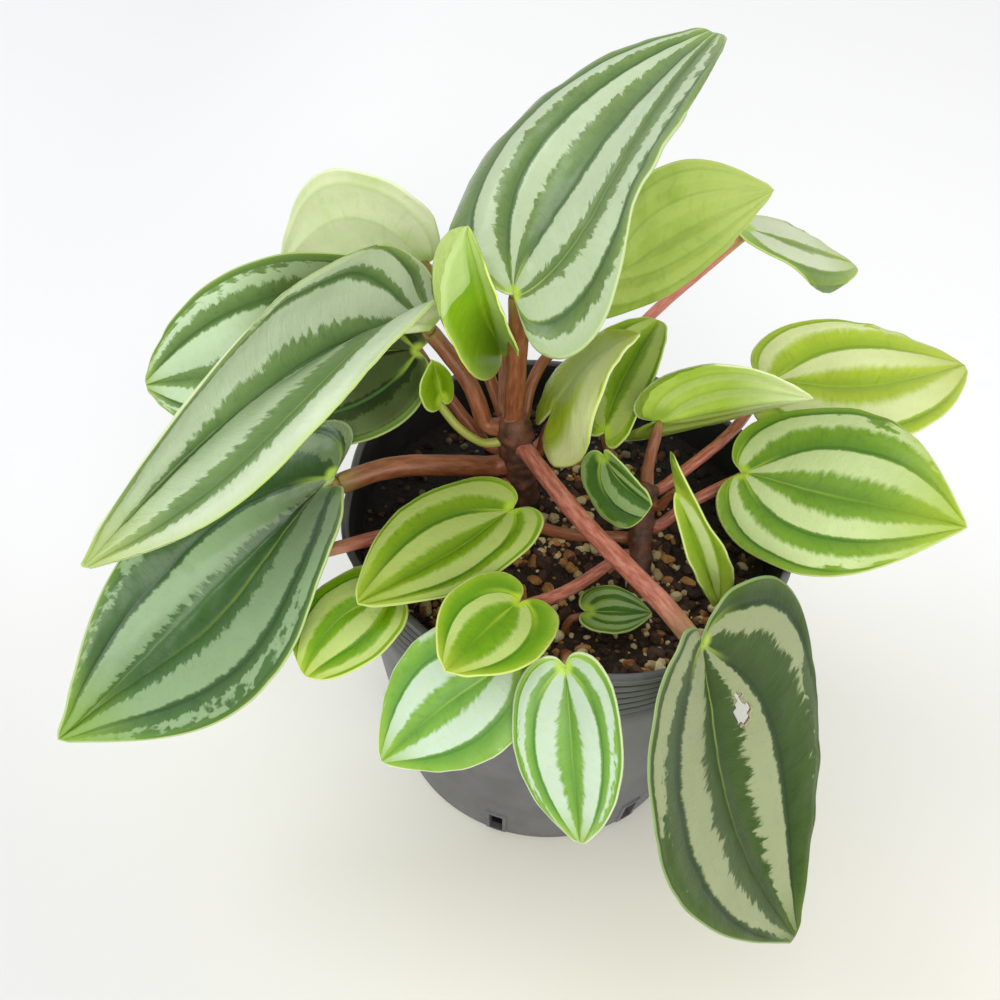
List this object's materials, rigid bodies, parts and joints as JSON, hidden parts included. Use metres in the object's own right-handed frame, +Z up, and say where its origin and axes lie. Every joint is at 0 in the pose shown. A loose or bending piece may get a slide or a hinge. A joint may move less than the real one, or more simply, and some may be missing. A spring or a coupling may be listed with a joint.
{
  "type": "potted peperomia",
  "caption": "Small striped peperomia with broad pointed leaves on reddish stalks, growing in soil in a round ribbed nursery pot with drainage slits.",
  "frame": {"origin": "centre of the pot's flat underside", "axes": "+Z up out of the pot along its axis, -Y towards the front with the hanging leaves, +X to the right seen from the front"},
  "size_m": [0.1862, 0.1468, 0.1517],
  "materials": {
    "pot": "matte",
    "soil": "matte",
    "mature_leaf": "satin",
    "young_leaf": "satin",
    "bright_leaf": "satin",
    "leaf_underside": "satin",
    "stem": "satin",
    "green_stalk": "satin",
    "old_stem": "matte"
  },
  "bodies": {
    "root": {"leaf_back_left": "leaf_underside", "leaf_back_right": "leaf_underside", "leaf_centre_left": "young_leaf", "leaf_crown_bud": "young_leaf", "leaf_edge_on": "young_leaf", "leaf_far_right": "mature_leaf", "leaf_front_hanging": "bright_leaf", "leaf_front_heart": "young_leaf", "leaf_front_left": "bright_leaf", "leaf_front_right": "mature_leaf", "leaf_inner_back": "young_leaf", "leaf_inner_front": "mature_leaf", "leaf_inner_upright": "young_leaf", "leaf_left_back": "mature_leaf", "leaf_left_lower": "mature_leaf", "leaf_left_upper": "mature_leaf", "leaf_low_left": "young_leaf", "leaf_on_soil": "mature_leaf", "leaf_right_inner": "leaf_underside", "leaf_right_middle": "young_leaf", "leaf_right_upper": "young_leaf", "leaf_top": "mature_leaf", "leaf_under_left": "young_leaf", "leaf_young_crown": "young_leaf", "main_stem": "old_stem", "pot": "pot", "side_shoot": "stem", "soil": "soil", "stalk_back_left": "stem", "stalk_back_right": "stem", "stalk_centre_left": "stem", "stalk_crown_bud": "green_stalk", "stalk_edge_on": "stem", "stalk_far_right": "stem", "stalk_front_hanging": "stem", "stalk_front_heart": "stem", "stalk_front_left": "stem", "stalk_front_right": "stem", "stalk_inner_back": "stem", "stalk_inner_front": "stem", "stalk_inner_upright": "stem", "stalk_left_back": "stem", "stalk_left_lower": "stem", "stalk_left_upper": "stem", "stalk_low_left": "stem", "stalk_on_soil": "stem", "stalk_right_inner": "stem", "stalk_right_middle": "stem", "stalk_right_upper": "stem", "stalk_top": "stem", "stalk_under_left": "stem", "stalk_young_crown": "stem"}
  },
  "joints": []
}
